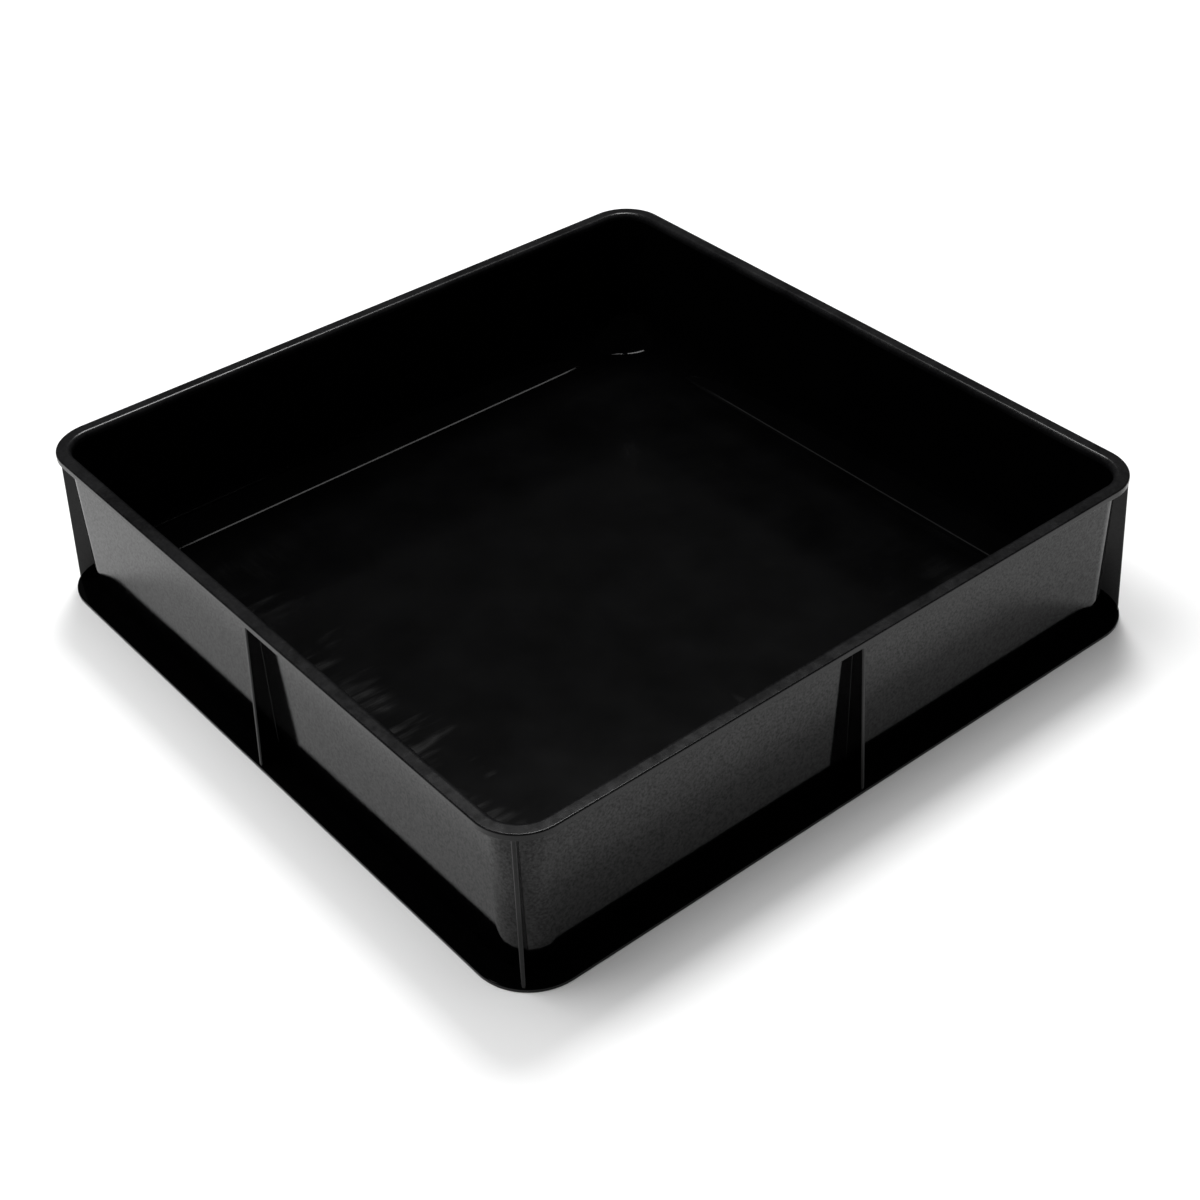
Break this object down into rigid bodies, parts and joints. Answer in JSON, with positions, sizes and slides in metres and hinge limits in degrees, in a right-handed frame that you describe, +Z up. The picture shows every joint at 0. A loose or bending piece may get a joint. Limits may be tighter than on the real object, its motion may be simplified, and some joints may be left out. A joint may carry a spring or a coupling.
{
  "type": "mortar mixing tub",
  "caption": "Square shallow mortar mixing tub with near-upright walls, a narrow flat rim, a coved floor, a thin foot flange and upright gussets outside.",
  "frame": {"origin": "middle of the underside, on the surface that the tub stands on", "axes": "+Z up out of the tub's mouth; X and Y along the sides, with -Y the front"},
  "size_m": [0.5, 0.5, 0.108],
  "materials": {
    "black_plastic": "moulded gloss with a fine grain"
  },
  "bodies": {
    "root": {"cove_back": "black_plastic", "cove_corner_back_left": "black_plastic", "cove_corner_back_right": "black_plastic", "cove_corner_front_left": "black_plastic", "cove_corner_front_right": "black_plastic", "cove_front": "black_plastic", "cove_left": "black_plastic", "cove_right": "black_plastic", "floor_plate": "black_plastic", "foot_flange_back": "black_plastic", "foot_flange_corner_back_left": "black_plastic", "foot_flange_corner_back_right": "black_plastic", "foot_flange_corner_front_left": "black_plastic", "foot_flange_corner_front_right": "black_plastic", "foot_flange_front": "black_plastic", "foot_flange_left": "black_plastic", "foot_flange_right": "black_plastic", "gusset_back": "black_plastic", "gusset_corner_back_left": "black_plastic", "gusset_corner_back_right": "black_plastic", "gusset_corner_front_left": "black_plastic", "gusset_corner_front_right": "black_plastic", "gusset_front": "black_plastic", "gusset_left": "black_plastic", "gusset_right": "black_plastic", "rim_back": "black_plastic", "rim_corner_back_left": "black_plastic", "rim_corner_back_right": "black_plastic", "rim_corner_front_left": "black_plastic", "rim_corner_front_right": "black_plastic", "rim_front": "black_plastic", "rim_left": "black_plastic", "rim_right": "black_plastic", "wall_back": "black_plastic", "wall_corner_back_left": "black_plastic", "wall_corner_back_right": "black_plastic", "wall_corner_front_left": "black_plastic", "wall_corner_front_right": "black_plastic", "wall_front": "black_plastic", "wall_left": "black_plastic", "wall_right": "black_plastic"}
  },
  "joints": []
}
